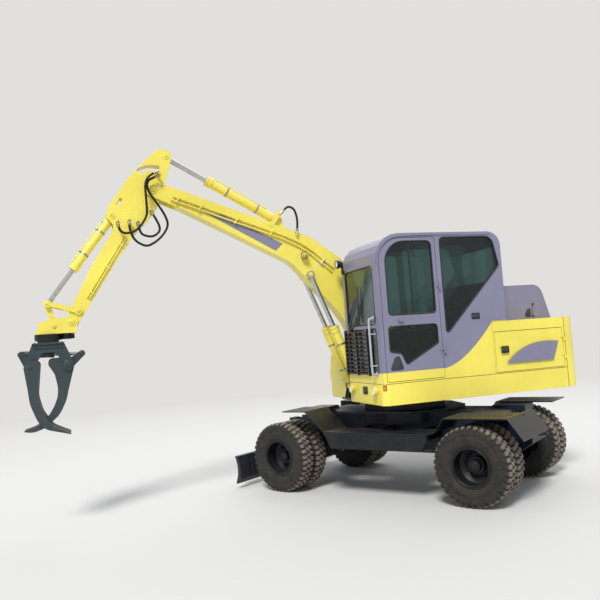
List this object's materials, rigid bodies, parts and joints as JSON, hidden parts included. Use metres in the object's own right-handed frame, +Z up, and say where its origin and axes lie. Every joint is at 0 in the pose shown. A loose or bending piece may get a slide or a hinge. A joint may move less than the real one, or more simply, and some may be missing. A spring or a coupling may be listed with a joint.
{
  "type": "wheeled excavator with grapple",
  "caption": "Wheeled excavator with twin tyres, slewing cab, boom and arm carrying a rotating timber grapple, and a front dozer blade.",
  "frame": {"origin": "on the floor under the slew axis", "axes": "+X along the boom to the front of the upper body, +Y to its left (cab) side, +Z up; the chassis stands turned 54.6 degrees to the right under it"},
  "size_m": [6.5775, 4.3793, 4.2723],
  "materials": {
    "yellow_paint": "gloss yellow paint, dusty",
    "lavender_paint": "satin lavender grey paint",
    "navy_paint": "satin blue-black paint, dusty",
    "black_paint": "satin black paint, dusty on top",
    "grapple_paint": "dark teal-grey paint",
    "rim_paint": "black paint, dusty",
    "steel": "rough cast steel",
    "chrome_rod": "ground hard chrome",
    "tyre_rubber": "dusty rubber",
    "hose_rubber": "black hydraulic hose",
    "cab_glass": "green-tinted clear glass",
    "seat_fabric": "dark woven cloth",
    "black_plastic": "moulded, grained",
    "engine_iron": "oily cast iron"
  },
  "bodies": {
    "chassis": {"chassis_frame": "navy_paint", "fenders_steps": "black_paint", "front_axle": "navy_paint", "rear_axle": "navy_paint", "drive_shaft": "steel"},
    "knuckle_left": {"knuckle_left": "steel"},
    "knuckle_right": {"knuckle_right": "steel"},
    "wheel_fl": {"tyres_front_left": "tyre_rubber", "rims_front_left": "rim_paint"},
    "wheel_fr": {"tyres_front_right": "tyre_rubber", "rims_front_right": "rim_paint"},
    "wheel_rl": {"tyres_rear_left": "tyre_rubber", "rims_rear_left": "rim_paint"},
    "wheel_rr": {"tyres_rear_right": "tyre_rubber", "rims_rear_right": "rim_paint"},
    "blade": {"blade": "navy_paint"},
    "blade_barrels": {"blade_barrels": "navy_paint"},
    "blade_rods": {"blade_rods": "chrome_rod"},
    "upper": {"upper_frame": "black_paint", "body_skirt": "yellow_paint", "counterweight": "yellow_paint", "left_panel": "yellow_paint", "right_cover": "yellow_paint", "engine_block": "engine_iron", "cab_shell": "lavender_paint", "cab_glass": "cab_glass", "cab_seat": "seat_fabric", "cab_controls": "black_plastic", "front_guard": "black_paint", "mirror_lamps": "black_paint"},
    "cab_door": {"cab_door": "lavender_paint", "door_glass": "cab_glass"},
    "service_door": {"service_door": "yellow_paint"},
    "hood": {"engine_hood": "lavender_paint"},
    "boom": {"boom": "yellow_paint", "boom_pipes": "yellow_paint", "boom_hose": "hose_rubber"},
    "boom_barrels": {"boom_barrels": "yellow_paint"},
    "boom_rods": {"boom_rods": "chrome_rod"},
    "arm": {"arm": "yellow_paint", "arm_hose_outer": "hose_rubber", "arm_hose_long": "hose_rubber", "arm_hose_short": "hose_rubber"},
    "arm_barrel": {"arm_barrel": "yellow_paint"},
    "arm_rod": {"arm_rod": "chrome_rod"},
    "tool_barrel": {"tool_barrel": "yellow_paint"},
    "tool_rod": {"tool_rod": "chrome_rod"},
    "tilt_lever": {"tilt_lever": "yellow_paint"},
    "tilt_link": {"tilt_link": "yellow_paint"},
    "hanger": {"hanger": "yellow_paint", "rotator": "black_paint"},
    "grapple_head": {"grapple_head": "grapple_paint"},
    "front_jaw": {"front_jaw": "grapple_paint"},
    "rear_jaw": {"rear_jaw": "grapple_paint"},
    "jaw_barrel": {"jaw_barrel": "grapple_paint"},
    "jaw_rod": {"jaw_rod": "chrome_rod"}
  },
  "joints": [
    {"name": "slew", "type": "hinge", "parent": "chassis", "child": "upper", "pos_m": [0, 0, 1.08], "axis": [0, 0, 1], "continuous": true},
    {"name": "steer_left", "type": "hinge", "parent": "chassis", "child": "knuckle_left", "pos_m": [1.12695, -0.75716, 0.43], "axis": [0, 0, 1], "range_deg": [-21, 29]},
    {"name": "steer_right", "type": "hinge", "parent": "chassis", "child": "knuckle_right", "pos_m": [0.34443, -1.31327, 0.43], "axis": [0, 0, 1], "range_deg": [-21, 29]},
    {"name": "wheel_front_left", "type": "hinge", "parent": "knuckle_left", "child": "wheel_fl", "pos_m": [1.12695, -0.75716, 0.43], "axis": [0.8536, 0.521, 0], "continuous": true},
    {"name": "wheel_front_right", "type": "hinge", "parent": "knuckle_right", "child": "wheel_fr", "pos_m": [0.34443, -1.31327, 0.43], "axis": [0.8536, 0.521, 0], "continuous": true},
    {"name": "wheel_rear_left", "type": "hinge", "parent": "chassis", "child": "wheel_rl", "pos_m": [-0.32936, 1.29207, 0.43], "axis": [0.8151, 0.5793, 0], "continuous": true},
    {"name": "wheel_rear_right", "type": "hinge", "parent": "chassis", "child": "wheel_rr", "pos_m": [-1.11189, 0.73596, 0.43], "axis": [0.8151, 0.5793, 0], "continuous": true},
    {"name": "blade_lift", "type": "hinge", "parent": "chassis", "child": "blade", "pos_m": [0.90368, -1.2716, 0.52], "axis": [-0.8151, -0.5793, 0], "range_deg": [-12, 20]},
    {"name": "blade_barrel_swing", "type": "hinge", "parent": "chassis", "child": "blade_barrels", "pos_m": [0.98188, -1.38164, 0.79], "axis": [-0.8151, -0.5793, 0], "range_deg": [-9, 15]},
    {"name": "blade_rod_slide", "type": "slide", "parent": "blade_barrels", "child": "blade_rods", "axis": [0.2459, -0.346, -0.9055], "range_m": [-0.12, 0.08]},
    {"name": "cab_door_hinge", "type": "hinge", "parent": "upper", "child": "cab_door", "pos_m": [-0.048, 0.992, 1.6], "axis": [0, 0, 1], "range_deg": [0, 165]},
    {"name": "service_door_hinge", "type": "hinge", "parent": "upper", "child": "service_door", "pos_m": [-1.728, 0.985, 1.5], "axis": [0, 0, 1], "range_deg": [0, 110]},
    {"name": "hood_hinge", "type": "hinge", "parent": "upper", "child": "hood", "pos_m": [-1.854, -0.2, 1.964], "axis": [0, -1, 0], "range_deg": [0, 55]},
    {"name": "boom_lift", "type": "hinge", "parent": "upper", "child": "boom", "pos_m": [0.42, -0.2, 1.68], "axis": [0, -1, 0], "range_deg": [-50, 15]},
    {"name": "boom_barrel_swing", "type": "hinge", "parent": "upper", "child": "boom_barrels", "pos_m": [0.59, -0.2, 1.25], "axis": [0, -1, 0], "range_deg": [-43, 14]},
    {"name": "boom_rod_slide", "type": "slide", "parent": "boom_barrels", "child": "boom_rods", "axis": [0.3601, 0, 0.9329], "range_m": [-0.34, 0.11]},
    {"name": "arm_swing", "type": "hinge", "parent": "boom", "child": "arm", "pos_m": [3.0281, -0.2, 3.792], "axis": [0, 1, 0], "range_deg": [-35, 50]},
    {"name": "arm_barrel_swing", "type": "hinge", "parent": "boom", "child": "arm_barrel", "pos_m": [1.49594, -0.2, 3.40698], "axis": [0, -1, 0], "range_deg": [-4, 4]},
    {"name": "arm_rod_slide", "type": "slide", "parent": "arm_barrel", "child": "arm_rod", "axis": [0.8647, 0, 0.5022], "range_m": [-0.26, 0.36]},
    {"name": "tool_tilt", "type": "hinge", "parent": "arm", "child": "hanger", "pos_m": [4.00751, -0.2, 2.27225], "axis": [0, -1, 0], "range_deg": [-50, 50]},
    {"name": "tilt_lever_swing", "type": "hinge", "parent": "arm", "child": "tilt_lever", "pos_m": [3.93184, -0.2, 2.40075], "axis": [0, -1, 0], "range_deg": [-34, 34]},
    {"name": "tilt_link_swing", "type": "hinge", "parent": "hanger", "child": "tilt_link", "pos_m": [4.19868, -0.2, 2.2396], "axis": [0, -1, 0], "range_deg": [-34, 34]},
    {"name": "tool_barrel_swing", "type": "hinge", "parent": "arm", "child": "tool_barrel", "pos_m": [3.5042, -0.2, 3.48151], "axis": [0, -1, 0], "range_deg": [-4, 4]},
    {"name": "tool_rod_slide", "type": "slide", "parent": "tool_barrel", "child": "tool_rod", "axis": [0.6068, 0, -0.7948], "range_m": [-0.18, 0.18]},
    {"name": "rotator_turn", "type": "hinge", "parent": "hanger", "child": "grapple_head", "pos_m": [4.26951, -0.2, 2.06], "axis": [0, 0, 1], "continuous": true},
    {"name": "jaws_open", "type": "hinge", "parent": "grapple_head", "child": "front_jaw", "pos_m": [4.46951, -0.2, 1.8], "axis": [0, -1, 0], "range_deg": [0, 42]},
    {"name": "rear_jaw_open", "type": "hinge", "parent": "grapple_head", "child": "rear_jaw", "pos_m": [4.06951, -0.2, 1.8], "axis": [0, 1, 0], "range_deg": [0, 42.5]},
    {"name": "jaw_barrel_swing", "type": "hinge", "parent": "front_jaw", "child": "jaw_barrel", "pos_m": [4.55651, -0.2, 1.948], "axis": [0, -1, 0], "range_deg": [-48, 1]},
    {"name": "jaw_rod_slide", "type": "slide", "parent": "jaw_barrel", "child": "jaw_rod", "axis": [-0.999, 0, -0.0439], "range_m": [-0.24, 0.01]}
  ],
  "couplings": [
    {"joint": "steer_right", "follows": "steer_left", "ratio": 1},
    {"joint": "blade_barrel_swing", "follows": "blade_lift", "ratio": 0.66253},
    {"joint": "blade_rod_slide", "follows": "blade_lift", "m_per_rad": -0.24735},
    {"joint": "boom_barrel_swing", "follows": "boom_lift", "ratio": 0.833},
    {"joint": "boom_rod_slide", "follows": "boom_lift", "m_per_rad": 0.3777},
    {"joint": "arm_barrel_swing", "follows": "arm_swing", "ratio": -0.047},
    {"joint": "arm_rod_slide", "follows": "arm_swing", "m_per_rad": 0.3941},
    {"joint": "tilt_lever_swing", "follows": "tool_tilt", "ratio": 0.645},
    {"joint": "tilt_link_swing", "follows": "tool_tilt", "ratio": -0.633},
    {"joint": "tool_barrel_swing", "follows": "tool_tilt", "ratio": 0.055},
    {"joint": "tool_rod_slide", "follows": "tool_tilt", "m_per_rad": -0.2005},
    {"joint": "rear_jaw_open", "follows": "jaws_open", "ratio": 1},
    {"joint": "jaw_barrel_swing", "follows": "jaws_open", "ratio": -1.12},
    {"joint": "jaw_rod_slide", "follows": "jaws_open", "m_per_rad": -0.3209}
  ]
}
